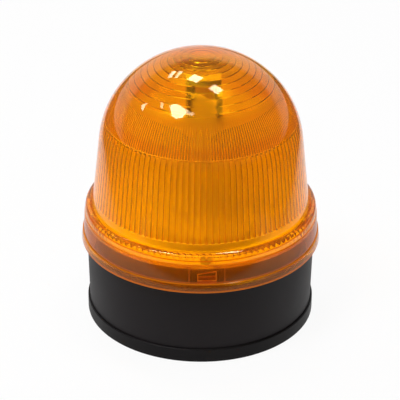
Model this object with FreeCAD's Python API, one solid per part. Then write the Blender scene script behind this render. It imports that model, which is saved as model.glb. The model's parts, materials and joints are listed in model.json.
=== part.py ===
import FreeCAD, Part
import math
import os

# Rotating warning light, bayonet lens on a round three-screw base.
# Millimetres, +Z up, origin at the centre of the underside, -Y is the front.

V = FreeCAD.Vector
UP = V(0, 0, 1)
ORIGIN = V(0, 0, 0)

# ---------------------------------------------------------------- driving sizes
BEACON_R = 65.33             # skirt of the lens at its lower edge
LENS_HEIGHT = 152.2          # top of the dome above the underside
SKIRT_Z = 44.5               # lower edge of the skirt above the underside
RUN_GAP = 0.05               # radial clearance of a running fit
PRESS_GAP = 0.02             # radial clearance between pieces fixed together
PART_GAP = 0.15              # small gap between faces that move past each other
SCREW_GAP = 0.1              # radial clearance of a screw in the plate it holds

# skirt of the lens, from the outside inwards
LEDGE_R = BEACON_R - 0.53
LEDGE_Z = SKIRT_Z + 5.0
SKIRT_R_MID = LEDGE_R - 0.6
SHELF_R = SKIRT_R_MID - 0.7
SHELF_Z = SKIRT_Z + 15.8
SKIRT_IN_LOW = BEACON_R - 1.83
SKIRT_IN_STEP = SKIRT_Z + 2.9
SKIRT_IN = SKIRT_R_MID - 2.0
SEAT_Z = SKIRT_Z + 13.1      # flat under the shelf that presses on the lens seal

# housing and its seal, inside the skirt
WALL_R_HIGH = SKIRT_IN_LOW - 1.1
WALL_R_LOW = WALL_R_HIGH - 0.8
WALL_THICK = 2.4
WALL_TOP = SKIRT_Z + 1.5
NECK_R = SKIRT_IN - 2.6
NECK_R_IN = NECK_R - WALL_THICK
NECK_TOP = SEAT_Z - 1.2
SEAL_LIP = 1.1
SEAL_R_OUT = WALL_R_LOW + SEAL_LIP
SEAL_WIDTH = 8.8
SEAL_R_IN = SEAL_R_OUT - SEAL_WIDTH
SEAL_FLOOR = 2.2
SEAL_LIP_TOP = 7.9
SEAL_EDGE = 0.5
FLOOR_THICK = 2.8
FLOOR_TOP = SEAL_FLOOR + FLOOR_THICK
LENS_SEAL_TOP = SEAT_Z - PART_GAP

# dome: flare, straight wall, shoulder arc, cap sphere
LENS_THICK = 2.3
FOOT_R = SHELF_R - 2.9
FOOT_Z = SHELF_Z + 5.8
CREASE_OUT = 0.9             # the shelf bulges out a little below the foot of the dome
CREASE_UP = 3.0
FLARE_TOP = SHELF_Z + 21.7
DRAFT = math.radians(6.2)
CAP_SPHERE = 0.924 * FOOT_R
SHOULDER = 0.8746 * FOOT_R
CAP_ANGLE = math.radians(40.4)
SEAT_R_IN = FOOT_R - 2.8
SEAT_WALL_TOP = SHELF_Z + 3.0
RING_COUNT = 11              # prismatic rings under the cap
RING_DEPTH = 0.75
WALL_FLUTES = 96             # ribs inside the straight wall
SHOULDER_FLUTES = 144        # finer ribs inside the shoulder
FLUTE_SHARE = 0.0075         # depth of a flute as a share of its radius
FLUTE_Z = FOOT_Z + 3.4       # lower end of the ribs

# mounting holes through the floor
HOLE_COUNT = 3
HOLE_PCD = 2.0 * (SEAL_R_IN - 3.9)
HOLE_R = 2.75
HOLE_BOSS_R = HOLE_R + 3.25
HOLE_BOSS_TOP = FLOOR_TOP + 4.0
HOLE_ANGLE = 90.0

# cable entry
ENTRY_Y = 10.0
GROMMET_BORE_R = 3.6
ENTRY_R = GROMMET_BORE_R + 2.4
GROMMET_FLANGE_R = ENTRY_R + 2.0

# deck and its pillars
DECK_THICK = 3.0
DECK_BOTTOM = NECK_TOP - 3.8
DECK_TOP = DECK_BOTTOM + DECK_THICK
DECK_R = NECK_R_IN - 0.3
PILLAR_R = 4.0
PILLAR_PCD = 2.0 * (NECK_R_IN - 7.2)
PILLAR_ANGLE = 30.0
RIB_HALF = 0.9
DECK_SCREW_R = 1.45
DECK_SCREW_LONG = 11.5

# bayonet
LUG_COUNT = 3
LUG_FRONT = -90.0
LENS_LUG_DEG = 9.2
LENS_LUG_R_IN = NECK_R + 0.45
LENS_LUG_Z = SKIRT_Z + 4.4
LENS_LUG_TOP = LENS_LUG_Z + 4.2
LUG_RAMP = 1.0
BASE_LUG_DEG = 14.8
BASE_LUG_R = SKIRT_IN - 0.45
BASE_LUG_Z = LENS_LUG_TOP + 0.35
STOP_DEG = 2.0

# lamp tower, washer, clip
TOWER_FLANGE_R = 12.0
TOWER_FLANGE_TOP = DECK_TOP + 1.6
TOWER_R = 5.5
TOWER_BORE_R = TOWER_R - 2.2
TOWER_SCREW_Y = (TOWER_R + TOWER_FLANGE_R) / 2.0
WASHER_TOP = TOWER_FLANGE_TOP + 0.6
WASHER_R = TOWER_FLANGE_R - 2.0
TURN_Z = WASHER_TOP + 0.1    # underside of everything that turns
BUSH_TOP = TURN_Z + 11.9
CLIP_Z = BUSH_TOP + 0.2
CLIP_THICK = 0.8
CLIP_GROOVE_R = TOWER_R - 0.8
CLIP_R = TOWER_R + 2.4

# gears
RING_TEETH = 90
PINION_TEETH = 10
GEAR_SPACING = NECK_R_IN - 17.2
MODULE = 2.0 * GEAR_SPACING / (RING_TEETH + PINION_TEETH)
RING_TIP = MODULE * 45.56
RING_ROOT = MODULE * 43.5
PINION_TIP = MODULE * 6.125
PINION_ROOT = MODULE * 4.19
TOOTH_SLACK = 0.10           # taken off each tooth's thickness at the pitch line
PRESSURE = math.radians(20.0)
GEAR_WEB_TOP = TURN_Z + 2.0
GEAR_TOP = TURN_Z + 4.9
GEAR_RIM_R = RING_ROOT - 3.8
BUSH_R = TOWER_R + 2.0
GEAR_HUB_R = BUSH_R + 2.7
BOSS_R = 3.4
BOSS_Y = GEAR_HUB_R + 3.8
GEAR_HOLE_COUNT = 6
GEAR_HOLE_AT = (GEAR_HUB_R + GEAR_RIM_R) / 2.0
GEAR_HOLE_R = (GEAR_RIM_R - GEAR_HUB_R) / 4.0

# mirror and its frame
FOCAL = 5.4
MIRROR_HALF = 16.4
MIRROR_THICK = 0.5
FOOT_PLATE_Z = CLIP_Z + CLIP_THICK + 1.2
FOOT_PLATE_TOP = FOOT_PLATE_Z + 2.5
CAP_PLATE_TOP = LENS_HEIGHT - 10.2
CAP_PLATE_Z = CAP_PLATE_TOP - 2.4
STRIP_TOP = CAP_PLATE_Z - 2.6
MIRROR_TOP = STRIP_TOP - 2.6
MIRROR_Z = FOOT_PLATE_TOP + 5.5
SPINE_THICK = 1.6
SPINE_HALF = 4.5
SPINE_X = -FOCAL - MIRROR_THICK - 0.05
RIM_X = MIRROR_HALF ** 2 / (4.0 * FOCAL) - FOCAL + 0.35
RIM_X_OUT = RIM_X + 2.4
RIM_Y = MIRROR_HALF + 0.2
RIM_Y_OUT = RIM_Y + 2.4
CAP_PLATE_HALF = 7.0
POST_HALF = 3.0

# lamp
TOWER_TOP = FOOT_PLATE_TOP + 3.6
HOLDER_R = FOCAL - 0.6
HOLDER_FLANGE_R = FOCAL - 0.1
HOLDER_SPIGOT = 5.0
BULB_R = FOCAL - 1.1
BULB_WALL = 0.8
BULB_BASE_R = BULB_R - 0.3
FILAMENT_Z = (MIRROR_Z + MIRROR_TOP) / 2.0
BULB_TOP = FILAMENT_Z + 10.0
BULB_BASE_TOP = FILAMENT_Z - 10.1
HOLDER_TOP = BULB_BASE_TOP - 5.0
PIN_X = 2.0
PIN_R = 0.5

# motor
MOTOR_Y = GEAR_SPACING
MOTOR_R = 12.0
MOTOR_WALL = 1.0
MOTOR_CAP_Z = DECK_BOTTOM - 2.6
MOTOR_BOTTOM = MOTOR_CAP_Z - 28.0
MOTOR_BOSS_R = 3.2
MOTOR_SCREW_X = MOTOR_R - 4.0
MOTOR_SCREW_R = 1.2
SHAFT_R = 1.5
SHAFT_TOP = GEAR_TOP + 0.8
ROTOR_R = MOTOR_R - 3.0
ROTOR_Z = MOTOR_BOTTOM + 7.0
ROTOR_TOP = MOTOR_CAP_Z - 5.0
TAB_X = 4.5

# circuit board and what it carries
BOARD_X = 28.0
BOARD_Y0 = -32.0
BOARD_Y1 = -4.0
BOARD_Z = FLOOR_TOP + 9.0
BOARD_THICK = 1.6
BOARD_TOP = BOARD_Z + BOARD_THICK
POST_INSET = 3.5
POST_R = 2.6
BOARD_SCREW_R = 1.05
BLOCK_X = 12.5
BLOCK_Y1 = BOARD_Y1 - 3.0
BLOCK_Y0 = BLOCK_Y1 - 10.0
BLOCK_TOP = BOARD_TOP + 11.0
WAY_X = [-9.0, -3.0, 3.0, 9.0]
WAY_R = 1.3
WAY_Z = BOARD_TOP + 4.0
LEAD_R = 0.8
LEAD_FLOOR = FLOOR_TOP + 9.0  # height at which the motor's leads cross the floor
CAPACITOR_AT = (-19.0, -18.0)
CHOKE_AT = (20.0, -18.0)
BOARD_POSTS = [(x, y) for x in (POST_INSET - BOARD_X, BOARD_X - POST_INSET)
               for y in (BOARD_Y0 + POST_INSET, BOARD_Y1 - POST_INSET)]

# the dome's arcs, as centre and radius in the (radius, height) plane
CAP_CENTRE = (0.0, LENS_HEIGHT - CAP_SPHERE)
SHOULDER_CENTRE = ((CAP_SPHERE - SHOULDER) * math.cos(CAP_ANGLE),
                   CAP_CENTRE[1] + (CAP_SPHERE - SHOULDER) * math.sin(CAP_ANGLE))
WALL_TURN_Z = SHOULDER_CENTRE[1] + SHOULDER * math.sin(DRAFT)
FLARE_R = SHOULDER_CENTRE[0] + SHOULDER * math.cos(DRAFT) + math.tan(DRAFT) * (WALL_TURN_Z - FLARE_TOP)
FLARE_LEAN = math.atan2(FOOT_R - FLARE_R, FLARE_TOP - FOOT_Z)
FLARE = math.hypot(FOOT_R - FLARE_R, FLARE_TOP - FOOT_Z) / (2.0 * math.sin(FLARE_LEAN - DRAFT))
FLARE_CENTRE = (FLARE_R + FLARE * math.cos(DRAFT), FLARE_TOP + FLARE * math.sin(DRAFT))
FLARE_END = 2.0 * FLARE_LEAN - DRAFT


# ---------------------------------------------------------------- small builders
def cyl(radius, low, high, x=0.0, y=0.0):
    return Part.makeCylinder(radius, high - low, V(x, y, low), UP)


def ring(inner, outer, low, high, x=0.0, y=0.0):
    return cyl(outer, low, high, x, y).cut(cyl(inner, low - 1, high + 1, x, y))


def box(x0, x1, y0, y1, z0, z1):
    return Part.makeBox(x1 - x0, y1 - y0, z1 - z0, V(x0, y0, z0))


def polar(radius, degrees):
    a = math.radians(degrees)
    return radius * math.cos(a), radius * math.sin(a)


def spread(count, start):
    return [start + 360.0 * k / count for k in range(count)]


def revolved(points, degrees=360.0, start=0.0):
    """Turn a closed outline of (radius, height) points about the Z axis."""
    wire = Part.makePolygon([V(r, 0, z) for r, z in points + points[:1]])
    solid = Part.Face(wire).revolve(ORIGIN, UP, degrees)
    solid.rotate(ORIGIN, UP, start)
    return solid


def union(first, others):
    return first.multiFuse(others).removeSplitter()


def screw(radius, head_r, head_h, seat, tip, x, y, facing=1):
    """Cross-slot screw: seat is the face its head sits on, tip the far end of its shank."""
    end = seat + facing * head_h
    low, high = sorted((seat, end))
    body = cyl(head_r, low, high, x, y)
    a, b = sorted((seat, tip))
    body = body.fuse(cyl(radius, a, b, x, y))
    s0, s1 = sorted((end - facing * head_h * 0.45, end + facing))
    for along, across in ((head_r * 0.62, head_r * 0.16), (head_r * 0.16, head_r * 0.62)):
        body = body.cut(box(x - along, x + along, y - across, y + across, s0, s1))
    return body


def lead(points, bend):
    """Insulated wire: straight runs through the given points, each corner rounded to the bend radius."""
    spots = [V(*p) for p in points]
    edges = []
    begin = spots[0]
    for before, corner, after in zip(spots[:-2], spots[1:-1], spots[2:]):
        u = before.sub(corner).normalize()
        w = after.sub(corner).normalize()
        half = u.getAngle(w) / 2.0
        reach = bend / math.tan(half)
        start = corner + u * reach
        end = corner + w * reach
        middle = corner + (u + w).normalize() * (bend / math.sin(half) - bend)
        edges.append(Part.makeLine(begin, start))
        edges.append(Part.Arc(start, middle, end).toShape())
        begin = end
    edges.append(Part.makeLine(begin, spots[-1]))
    section = Part.Wire(Part.makeCircle(LEAD_R, spots[0], spots[1].sub(spots[0])))
    return Part.Wire(edges).makePipeShell([section], True, True)


def gear_blank(teeth, tip, root, first, low, high):
    """Spur gear as a straight prism; one tooth is centred on the angle first."""
    pitch = MODULE * teeth / 2.0
    base = pitch * math.cos(PRESSURE)
    half = (math.pi * MODULE / 2.0 - TOOTH_SLACK) / 2.0 / pitch

    def involute(r):
        if r <= base:
            return 0.0
        t = math.sqrt(r * r / base / base - 1.0)
        return t - math.atan(t)

    at_pitch = involute(pitch)
    levels = [root, max(base, root), (max(base, root) + pitch) / 2.0, pitch, (pitch + tip) / 2.0, tip]
    levels = [r for i, r in enumerate(levels) if i == 0 or r > levels[i - 1] + 0.01]
    flank = [(r, half + at_pitch - involute(r)) for r in levels]
    points = []
    for k in range(teeth):
        centre = math.radians(first) + 2.0 * math.pi * k / teeth
        for r, a in flank:
            points.append(V(r * math.cos(centre - a), r * math.sin(centre - a), low))
        for r, a in reversed(flank):
            points.append(V(r * math.cos(centre + a), r * math.sin(centre + a), low))
    face = Part.Face(Part.makePolygon(points + points[:1]))
    return face.extrude(V(0, 0, high - low))


# ---------------------------------------------------------------- base and seal
def base_seal():
    return revolved([(SEAL_R_IN, 0), (SEAL_R_OUT - SEAL_EDGE, 0), (SEAL_R_OUT, SEAL_EDGE),
                     (SEAL_R_OUT, SEAL_LIP_TOP - SEAL_EDGE),
                     (SEAL_R_OUT - SEAL_EDGE, SEAL_LIP_TOP), (WALL_R_LOW + SCREW_GAP, SEAL_LIP_TOP),
                     (WALL_R_LOW + SCREW_GAP, SEAL_FLOOR), (SEAL_R_IN, SEAL_FLOOR)])


def base_housing():
    low_in = WALL_R_LOW - WALL_THICK
    high_in = WALL_R_HIGH - WALL_THICK
    shell = revolved([(0, SEAL_FLOOR), (WALL_R_LOW, SEAL_FLOOR), (WALL_R_LOW, SEAL_LIP_TOP),
                      (WALL_R_HIGH, WALL_TOP - 0.8), (WALL_R_HIGH - 0.8, WALL_TOP), (NECK_R, WALL_TOP),
                      (NECK_R, NECK_TOP), (NECK_R_IN, NECK_TOP), (NECK_R_IN, WALL_TOP - 4.0),
                      (high_in, WALL_TOP - 5.6), (low_in, FLOOR_TOP), (0, FLOOR_TOP)])
    adds = []
    for a in spread(HOLE_COUNT, HOLE_ANGLE):
        x, y = polar(HOLE_PCD / 2, a)
        adds.append(cyl(HOLE_BOSS_R, FLOOR_TOP - 1, HOLE_BOSS_TOP, x, y))
    for a in spread(HOLE_COUNT, PILLAR_ANGLE):
        x, y = polar(PILLAR_PCD / 2, a)
        adds.append(cyl(PILLAR_R, FLOOR_TOP - 1, DECK_BOTTOM, x, y))
        outer = WALL_R_LOW - WALL_THICK / 3
        rib = box(PILLAR_PCD / 2, outer, -RIB_HALF, RIB_HALF, FLOOR_TOP - 1, WALL_TOP - 8)
        rib.rotate(ORIGIN, UP, a)
        adds.append(rib)
    for x, y in BOARD_POSTS:
        adds.append(cyl(POST_R, FLOOR_TOP - 1, BOARD_Z, x, y))
    for a in spread(LUG_COUNT, LUG_FRONT):
        start = a - BASE_LUG_DEG / 2
        lug = [(NECK_R - 0.6, BASE_LUG_Z), (BASE_LUG_R, BASE_LUG_Z), (BASE_LUG_R, NECK_TOP - 0.6),
               (BASE_LUG_R - 0.6, NECK_TOP), (NECK_R - 0.6, NECK_TOP)]
        stop = [(NECK_R - 0.6, LENS_LUG_Z), (BASE_LUG_R, LENS_LUG_Z), (BASE_LUG_R, BASE_LUG_Z + 0.5),
                (NECK_R - 0.6, BASE_LUG_Z + 0.5)]
        adds.append(revolved(lug, BASE_LUG_DEG, start))
        adds.append(revolved(stop, STOP_DEG, start))
    body = union(shell, adds)
    cuts = [cyl(ENTRY_R, 0, HOLE_BOSS_TOP, 0, ENTRY_Y)]
    for a in spread(HOLE_COUNT, HOLE_ANGLE):
        x, y = polar(HOLE_PCD / 2, a)
        cuts.append(cyl(HOLE_R, 0, HOLE_BOSS_TOP + 1, x, y))
    for a in spread(HOLE_COUNT, PILLAR_ANGLE):
        x, y = polar(PILLAR_PCD / 2, a)
        cuts.append(cyl(DECK_SCREW_R + PRESS_GAP, DECK_TOP - DECK_SCREW_LONG - 0.5, DECK_BOTTOM + 1, x, y))
    for x, y in BOARD_POSTS:
        cuts.append(cyl(BOARD_SCREW_R + PRESS_GAP, BOARD_Z - 6, BOARD_Z + 1, x, y))
    return body.cut(Part.makeCompound(cuts))


def cable_grommet():
    neck = ENTRY_R - PRESS_GAP
    body = cyl(GROMMET_FLANGE_R, SEAL_FLOOR - 1.4, SEAL_FLOOR, 0, ENTRY_Y)
    body = body.fuse(cyl(neck, SEAL_FLOOR - 0.5, FLOOR_TOP + 0.5, 0, ENTRY_Y))
    cone = Part.makeCone(GROMMET_FLANGE_R, neck - 0.4, 3.6, V(0, ENTRY_Y, FLOOR_TOP), UP)
    body = body.fuse(cone)
    return body.cut(cyl(GROMMET_BORE_R, -1, 20, 0, ENTRY_Y))


# ---------------------------------------------------------------- lens
def on_arc(centre, radius, angle):
    return centre[0] + radius * math.cos(angle), centre[1] + radius * math.sin(angle)


def flare_point(inset, share):
    """Share 0 is the foot of the dome, share 1 the top of its flare."""
    angle = math.pi + FLARE_END + (DRAFT - FLARE_END) * share
    return on_arc(FLARE_CENTRE, FLARE + inset, angle)


def shoulder_point(inset, share):
    return on_arc(SHOULDER_CENTRE, SHOULDER - inset, DRAFT + (CAP_ANGLE - DRAFT) * share)


def cap_point(inset, share):
    return on_arc(CAP_CENTRE, CAP_SPHERE - inset, CAP_ANGLE + (math.pi / 2 - CAP_ANGLE) * share)


def upright(point):
    return V(point[0], 0, point[1])


def lens_outside():
    """The lens as a filled form: skirt, ledge, shelf, flare, wall, shoulder and cap turned about Z."""
    corners = [(0, SKIRT_Z), (BEACON_R - 0.3, SKIRT_Z), (BEACON_R, SKIRT_Z + 0.4), (LEDGE_R, LEDGE_Z - 0.4),
               (LEDGE_R - 0.25, LEDGE_Z), (SKIRT_R_MID, LEDGE_Z + 0.15), (SHELF_R + 0.1, SHELF_Z - 0.5),
               (SHELF_R - 0.2, SHELF_Z + 0.3), (SHELF_R - CREASE_OUT, SHELF_Z + CREASE_UP), flare_point(0, 0)]
    edges = [Part.makeLine(upright(p), upright(q)) for p, q in zip(corners[:-1], corners[1:])]
    for section in (flare_point, shoulder_point, cap_point):
        ends = [upright(section(0, share)) for share in (0.0, 0.5, 1.0)]
        if section is cap_point:
            ends[2] = V(0, 0, LENS_HEIGHT)
        if section is shoulder_point:
            edges.append(Part.makeLine(upright(flare_point(0, 1)), ends[0]))
        edges.append(Part.Arc(*ends).toShape())
    edges.append(Part.makeLine(V(0, 0, LENS_HEIGHT), V(0, 0, SKIRT_Z)))
    return Part.Face(Part.Wire(edges)).revolve(ORIGIN, UP, 360)


def flute_ring(point, count):
    """Zigzag circle: valleys on the given radius, crests a little inside it."""
    corners = []
    for k in range(2 * count):
        radius = point[0] * (1.0 - FLUTE_SHARE * (k % 2))
        angle = math.pi * k / count
        corners.append(V(radius * math.cos(angle), radius * math.sin(angle), point[1]))
    return Part.makePolygon(corners + corners[:1])


def fluted_core(points, count):
    return Part.makeLoft([flute_ring(p, count) for p in points], True, True)


def ringed_core():
    """The hollow under the cap, roofed by small prismatic rings."""
    inner = CAP_SPHERE - LENS_THICK
    edge, low = cap_point(LENS_THICK, 0)
    pitch = edge / RING_COUNT
    outline = [(0, low), (edge, low)]
    for k in range(RING_COUNT - 1, 0, -1):
        r = pitch * k
        roof = CAP_CENTRE[1] + math.sqrt(inner * inner - r * r)
        outline.append((r + 0.12, roof - RING_DEPTH))
        outline.append((r, roof))
    outline.append((0, CAP_CENTRE[1] + inner - RING_DEPTH))
    return revolved(outline)


def lens_dome():
    body = lens_outside()
    flare_low = (FLUTE_Z - FOOT_Z) / (FLARE_TOP - FOOT_Z)
    start = flare_point(LENS_THICK, flare_low)
    edge = cap_point(LENS_THICK, 0)
    below = revolved([(0, SKIRT_Z - 1), (SKIRT_IN_LOW, SKIRT_Z - 1), (SKIRT_IN_LOW, SKIRT_IN_STEP),
                      (SKIRT_IN, SKIRT_IN_STEP + 0.8), (SKIRT_IN, SEAT_Z), (SEAT_R_IN, SEAT_Z),
                      (SEAT_R_IN, SEAT_WALL_TOP), start, (0, start[1])])
    wall = fluted_core([start, flare_point(LENS_THICK, (1 + flare_low) / 2), flare_point(LENS_THICK, 1),
                        shoulder_point(LENS_THICK, 0)], WALL_FLUTES)
    shoulder = fluted_core([shoulder_point(LENS_THICK, k / 5.0) for k in range(6)], SHOULDER_FLUTES)
    for core in (below, wall, shoulder, ringed_core()):
        body = body.cut(core)
    lugs = []
    for a in spread(LUG_COUNT, LUG_FRONT):
        root = SKIRT_IN + 0.6
        section = [(LENS_LUG_R_IN, LENS_LUG_Z), (root, LENS_LUG_Z), (root, LENS_LUG_TOP),
                   (LENS_LUG_R_IN, LENS_LUG_TOP)]
        lug = revolved(section, LENS_LUG_DEG, a - LENS_LUG_DEG / 2)
        ramp = Part.Face(Part.makePolygon([V(NECK_R - 4, -6, LENS_LUG_TOP - LUG_RAMP),
                                           V(NECK_R - 4, 6, LENS_LUG_TOP), V(NECK_R - 4, 6, LENS_LUG_TOP + 3),
                                           V(NECK_R - 4, -6, LENS_LUG_TOP + 3),
                                           V(NECK_R - 4, -6, LENS_LUG_TOP - LUG_RAMP)])).extrude(V(12, 0, 0))
        ramp.rotate(ORIGIN, UP, a)
        lugs.append(lug.cut(ramp))
    return body.multiFuse(lugs)


def lens_seal():
    return ring(NECK_R_IN + 0.3, NECK_R - 0.2, NECK_TOP, LENS_SEAL_TOP)


# ---------------------------------------------------------------- deck and tower
def deck_plate():
    body = cyl(DECK_R, DECK_BOTTOM, DECK_TOP)
    cuts = [cyl(TOWER_BORE_R, DECK_BOTTOM - 1, DECK_TOP + 1)]
    for a in spread(HOLE_COUNT, PILLAR_ANGLE):
        x, y = polar(PILLAR_PCD / 2, a)
        cuts.append(cyl(DECK_SCREW_R + SCREW_GAP, DECK_BOTTOM - 1, DECK_TOP + 1, x, y))
    cuts.append(cyl(MOTOR_BOSS_R + PRESS_GAP, DECK_BOTTOM - 1, DECK_TOP + 1, 0, MOTOR_Y))
    for side in (-1, 1):
        for x, y in ((side * MOTOR_SCREW_X, MOTOR_Y), (0, side * TOWER_SCREW_Y)):
            cuts.append(cyl(MOTOR_SCREW_R + SCREW_GAP, DECK_BOTTOM - 1, DECK_TOP + 1, x, y))
    return body.cut(Part.makeCompound(cuts))


def deck_screws():
    at = [polar(PILLAR_PCD / 2, a) for a in spread(HOLE_COUNT, PILLAR_ANGLE)]
    return Part.makeCompound([screw(DECK_SCREW_R, 2.9, 1.9, DECK_TOP, DECK_TOP - DECK_SCREW_LONG, x, y)
                              for x, y in at])


def lamp_tower():
    body = cyl(TOWER_FLANGE_R, DECK_TOP, TOWER_FLANGE_TOP)
    body = body.fuse(cyl(TOWER_R, TOWER_FLANGE_TOP, TOWER_TOP))
    cuts = [cyl(TOWER_BORE_R, DECK_TOP - 1, TOWER_TOP + 1)]
    cuts.append(ring(CLIP_GROOVE_R, TOWER_R + 1, CLIP_Z, CLIP_Z + CLIP_THICK))
    for side in (-1, 1):
        y = side * TOWER_SCREW_Y
        cuts.append(cyl(MOTOR_SCREW_R + PRESS_GAP, DECK_TOP - 1, TOWER_FLANGE_TOP + 1, 0, y))
    return body.cut(Part.makeCompound(cuts))


def tower_screws():
    return Part.makeCompound([screw(MOTOR_SCREW_R, 2.2, 1.5, DECK_BOTTOM, TOWER_FLANGE_TOP - 0.1,
                                    0, side * TOWER_SCREW_Y, -1) for side in (-1, 1)])


def thrust_washer():
    return ring(TOWER_R + RUN_GAP, WASHER_R, TOWER_FLANGE_TOP, WASHER_TOP)


def tower_clip():
    body = ring(CLIP_GROOVE_R + PRESS_GAP, CLIP_R, CLIP_Z, CLIP_Z + CLIP_THICK)
    return body.cut(box(0, CLIP_R + 1, -1.6, 1.6, CLIP_Z - 1, CLIP_Z + 2))


# ---------------------------------------------------------------- lamp
def bulb_holder():
    body = cyl(TOWER_BORE_R - PRESS_GAP, TOWER_TOP - HOLDER_SPIGOT, TOWER_TOP)
    body = body.fuse(cyl(HOLDER_FLANGE_R, TOWER_TOP, TOWER_TOP + 1.5))
    body = body.fuse(cyl(HOLDER_R, TOWER_TOP + 1.5, HOLDER_TOP))
    for x in (-PIN_X, PIN_X):
        body = body.cut(cyl(PIN_R + 0.05, HOLDER_TOP - 6, HOLDER_TOP + 1, x, 0))
    for x in (-1.4, 1.4):
        body = body.cut(cyl(LEAD_R + 0.05, TOWER_TOP - HOLDER_SPIGOT - 1, TOWER_TOP - 1, x, 0))
    return body


def bulb_base():
    body = cyl(BULB_BASE_R, HOLDER_TOP, BULB_BASE_TOP)
    body = body.fuse(box(-BULB_BASE_R - 0.2, BULB_BASE_R + 0.2, -1.6, 1.6, HOLDER_TOP, BULB_BASE_TOP - 1.6))
    for x in (-PIN_X, PIN_X):
        body = body.fuse(cyl(PIN_R, HOLDER_TOP - 5.5, HOLDER_TOP + 1, x, 0))
    return body


def bulb_glass():
    outline = [(BULB_R, BULB_BASE_TOP)]
    inner = [(BULB_R - BULB_WALL, BULB_BASE_TOP + 3.0)]
    dome = BULB_TOP - BULB_R
    for k in range(7):
        a = math.radians(15.0 * k)
        outline.append((BULB_R * math.cos(a), dome + BULB_R * math.sin(a)))
        inner.append(((BULB_R - BULB_WALL) * math.cos(a), dome + (BULB_R - BULB_WALL) * math.sin(a)))
    outline[-1] = (0.0, BULB_TOP)
    inner[-1] = (0.0, BULB_TOP - BULB_WALL)
    closed = [(0.0, BULB_BASE_TOP)] + outline + list(reversed(inner)) + [(0.0, BULB_BASE_TOP + 3.0)]
    return revolved(closed)


def bulb_filament():
    foot = BULB_BASE_TOP + 3.0
    legs = [cyl(0.25, foot, FILAMENT_Z, x, 0) for x in (-1.9, 1.9)]
    bar = Part.makeCylinder(0.45, 4.4, V(-2.2, 0, FILAMENT_Z), V(1, 0, 0))
    return union(bar, legs)


# ---------------------------------------------------------------- what turns on the tower
def ring_gear():
    body = gear_blank(RING_TEETH, RING_TIP, RING_ROOT, 0.0, TURN_Z, GEAR_TOP)
    body = body.cut(cyl(GEAR_RIM_R, GEAR_WEB_TOP, GEAR_TOP + 1))
    adds = [cyl(GEAR_HUB_R, TURN_Z, BUSH_TOP)]
    for side in (-1, 1):
        adds.append(cyl(BOSS_R, TURN_Z, FOOT_PLATE_Z, 0, side * BOSS_Y))
    for a in (0, 90, 180, 270):
        rib = box(BUSH_R + 1, GEAR_RIM_R + 0.5, -RIB_HALF, RIB_HALF, TURN_Z, GEAR_TOP)
        rib.rotate(ORIGIN, UP, a)
        adds.append(rib)
    body = union(body, adds)
    cuts = [cyl(BUSH_R + PRESS_GAP, TURN_Z - 1, BUSH_TOP + 1)]
    for a in spread(GEAR_HOLE_COUNT, 30.0):
        if abs(math.cos(math.radians(a))) > 0.1:
            x, y = polar(GEAR_HOLE_AT, a)
            cuts.append(cyl(GEAR_HOLE_R, TURN_Z - 1, GEAR_WEB_TOP + 1, x, y))
    for side in (-1, 1):
        cuts.append(cyl(MOTOR_SCREW_R + PRESS_GAP, FOOT_PLATE_Z - 7, FOOT_PLATE_Z + 1, 0, side * BOSS_Y))
    return body.cut(Part.makeCompound(cuts))


def gear_bush():
    return ring(TOWER_R + RUN_GAP, BUSH_R, TURN_Z, BUSH_TOP)


def parabola(offset):
    """Plan points of the mirror's curve, moved out by offset along its normals."""
    steps = 14
    points = []
    for k in range(steps + 1):
        y = -MIRROR_HALF + 2.0 * MIRROR_HALF * k / steps
        slope = y / (2.0 * FOCAL)
        n = math.hypot(1.0, slope)
        points.append((-FOCAL + y * y / (4.0 * FOCAL) - offset / n, y + offset * slope / n))
    return points


def mirror_sheet():
    loop = parabola(0.0) + list(reversed(parabola(MIRROR_THICK)))
    wire = Part.makePolygon([V(x, y, MIRROR_Z) for x, y in loop + loop[:1]])
    return Part.Face(wire).extrude(V(0, 0, MIRROR_TOP - MIRROR_Z))


def mirror_frame():
    foot = box(SPINE_X - SPINE_THICK, RIM_X_OUT, -RIM_Y_OUT, RIM_Y_OUT, FOOT_PLATE_Z, FOOT_PLATE_TOP)
    adds = [box(SPINE_X - SPINE_THICK, SPINE_X, -SPINE_HALF, SPINE_HALF, FOOT_PLATE_Z, CAP_PLATE_TOP)]
    for side in (-1, 1):
        y0, y1 = sorted((side * RIM_Y, side * RIM_Y_OUT))
        adds.append(box(RIM_X, RIM_X_OUT, y0, y1, FOOT_PLATE_Z, STRIP_TOP))
    adds.append(box(RIM_X, RIM_X_OUT, -RIM_Y_OUT, RIM_Y_OUT, MIRROR_TOP + 0.2, STRIP_TOP))
    adds.append(box(RIM_X, RIM_X_OUT, -POST_HALF, POST_HALF, STRIP_TOP - 1, CAP_PLATE_TOP))
    half = CAP_PLATE_HALF
    adds.append(box(SPINE_X - SPINE_THICK, RIM_X_OUT, -half, half, CAP_PLATE_Z, CAP_PLATE_TOP))
    adds.append(box(SPINE_X - 0.5, -FOCAL + 2.0, -SPINE_HALF, SPINE_HALF, MIRROR_TOP + 0.2, STRIP_TOP))
    body = union(foot, adds)
    cuts = [cyl(TOWER_R + 0.9, FOOT_PLATE_Z - 1, FOOT_PLATE_TOP + 1)]
    for side in (-1, 1):
        cuts.append(cyl(MOTOR_SCREW_R + SCREW_GAP, FOOT_PLATE_Z - 1, FOOT_PLATE_TOP + 1, 0, side * BOSS_Y))
    body = body.cut(Part.makeCompound(cuts))
    corners = [e for e in body.Edges if abs(e.Length - (CAP_PLATE_TOP - CAP_PLATE_Z)) < 0.01
               and e.BoundBox.ZMin > CAP_PLATE_Z - 0.1 and abs(abs(e.CenterOfMass.y) - CAP_PLATE_HALF) < 0.01]
    return body.makeFillet(1.8, corners)


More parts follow.
